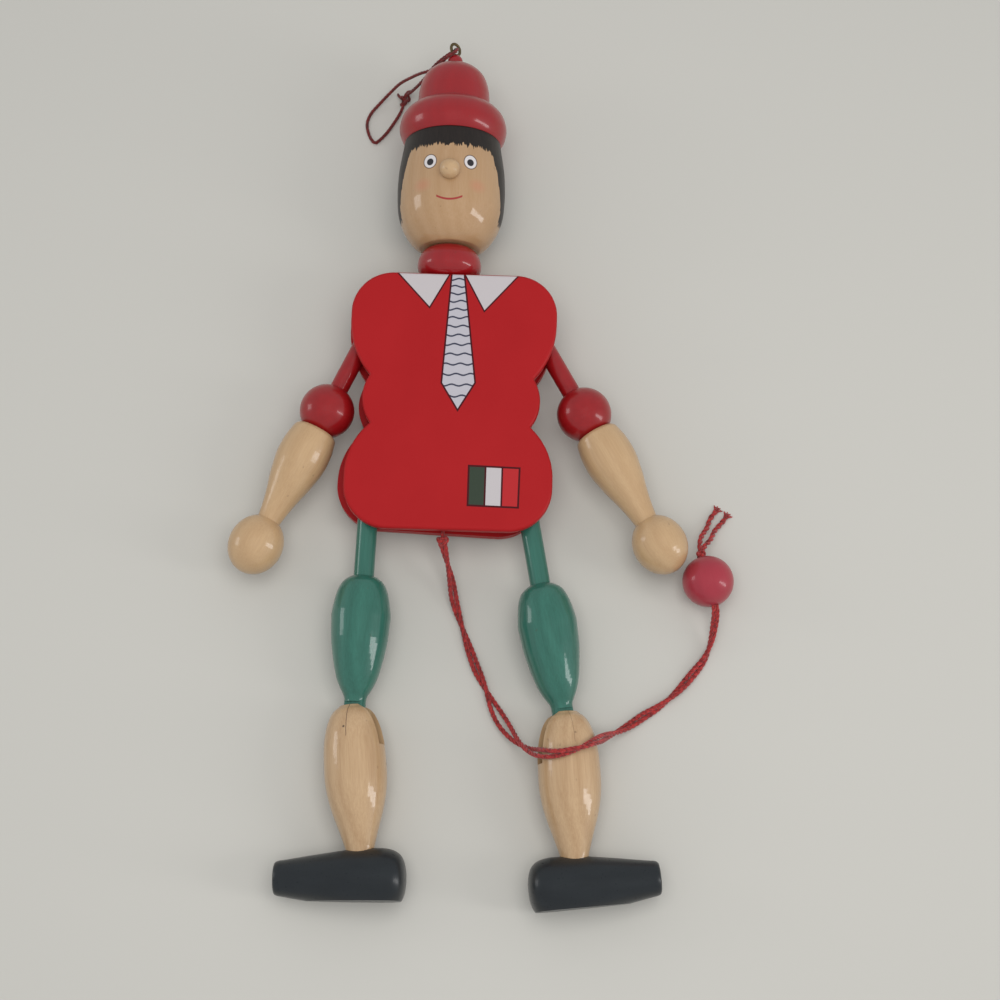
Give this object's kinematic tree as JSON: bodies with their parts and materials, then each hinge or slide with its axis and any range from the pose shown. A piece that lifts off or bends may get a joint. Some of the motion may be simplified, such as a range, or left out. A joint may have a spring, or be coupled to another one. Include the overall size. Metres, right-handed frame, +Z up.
{
  "type": "pull string jumping jack",
  "caption": "Wooden jumping jack figure with a two-board torso, turned limbs on pins, slotted knees, hanging loop and a pull cord with a bead that swings arms and legs outward.",
  "frame": {"origin": "on the floor, under the middle of the figure's outline as it lies on its back", "axes": "+Y from the feet to the head, +X to the viewer's right, +Z up out of the figure's front"},
  "size_m": [0.2283, 0.4052, 0.0574],
  "materials": {
    "red_paint": "satin painted",
    "red_varnish": "gloss varnish over red stain",
    "bead_red": "gloss varnish over red stain",
    "green_varnish": "gloss varnish over green stain",
    "varnished_wood": "gloss clear varnish",
    "plain_wood": "unfinished, hidden inside",
    "black_paint": "satin painted",
    "steel_nail": "plain wire nail",
    "brass_wire": "dull",
    "red_cord": "twisted cotton",
    "loop_cord": "twisted cotton"
  },
  "bodies": {
    "torso": {"front_panel": "red_paint", "back_panel": "red_paint", "left_shoulder_pin": "steel_nail", "right_shoulder_pin": "steel_nail", "left_hip_pin": "steel_nail", "right_hip_pin": "steel_nail", "left_spacer": "plain_wood", "right_spacer": "plain_wood", "neck_block": "plain_wood", "neck_dowel": "plain_wood", "neck_ring": "red_varnish", "head": "varnished_wood", "nose": "varnished_wood", "hat": "red_varnish", "screw_eye": "brass_wire", "hanging_loop": "loop_cord"},
    "left_arm": {"left_arm": "red_varnish"},
    "right_arm": {"right_arm": "red_varnish"},
    "left_thigh": {"left_thigh": "green_varnish"},
    "right_thigh": {"right_thigh": "green_varnish"},
    "left_calf": {"left_calf": "varnished_wood", "left_shoe": "black_paint", "left_ankle_dowel": "plain_wood", "left_knee_pin": "steel_nail"},
    "right_calf": {"right_calf": "varnished_wood", "right_shoe": "black_paint", "right_ankle_dowel": "plain_wood", "right_knee_pin": "steel_nail"},
    "pull_string": {"pull_cord": "red_cord", "pull_bead": "bead_red", "arm_string": "red_cord", "leg_string": "red_cord", "draw_string": "red_cord"}
  },
  "joints": [
    {"name": "left_hip", "type": "hinge", "parent": "torso", "child": "left_thigh", "pos_m": [-0.04028, -0.01948, 0.01862], "axis": [0, 0.0446, -0.999], "range_deg": [0, 28]},
    {"name": "right_hip", "type": "hinge", "parent": "torso", "child": "right_thigh", "pos_m": [0.03022, -0.02369, 0.01843], "axis": [0, -0.0446, 0.999], "range_deg": [0, 28]},
    {"name": "left_shoulder", "type": "hinge", "parent": "torso", "child": "left_arm", "pos_m": [-0.04199, 0.05674, 0.02202], "axis": [0, 0.0446, -0.999], "range_deg": [0, 60]},
    {"name": "right_shoulder", "type": "hinge", "parent": "torso", "child": "right_arm", "pos_m": [0.03677, 0.05426, 0.02191], "axis": [0, -0.0446, 0.999], "range_deg": [0, 60]},
    {"name": "pull", "type": "slide", "parent": "torso", "child": "pull_string", "axis": [0, -1, 0], "range_m": [0, 0.02], "deforming": ["pull_cord", "arm_string", "leg_string"]},
    {"name": "left_knee", "type": "hinge", "parent": "left_thigh", "child": "left_calf", "pos_m": [-0.04561, -0.12444, 0.01393], "axis": [0.2753, 0.029, -0.9609], "range_deg": [-15, 45]},
    {"name": "right_knee", "type": "hinge", "parent": "right_thigh", "child": "right_calf", "pos_m": [0.04758, -0.12734, 0.0138], "axis": [0.2719, 0.0026, 0.9623], "range_deg": [-15, 45]}
  ],
  "couplings": [
    {"joint": "right_hip", "follows": "left_hip", "ratio": 1},
    {"joint": "left_shoulder", "follows": "left_hip", "ratio": 2.1424},
    {"joint": "right_shoulder", "follows": "left_hip", "ratio": 2.1424},
    {"joint": "pull", "follows": "left_hip", "m_per_rad": 0.0409}
  ]
}
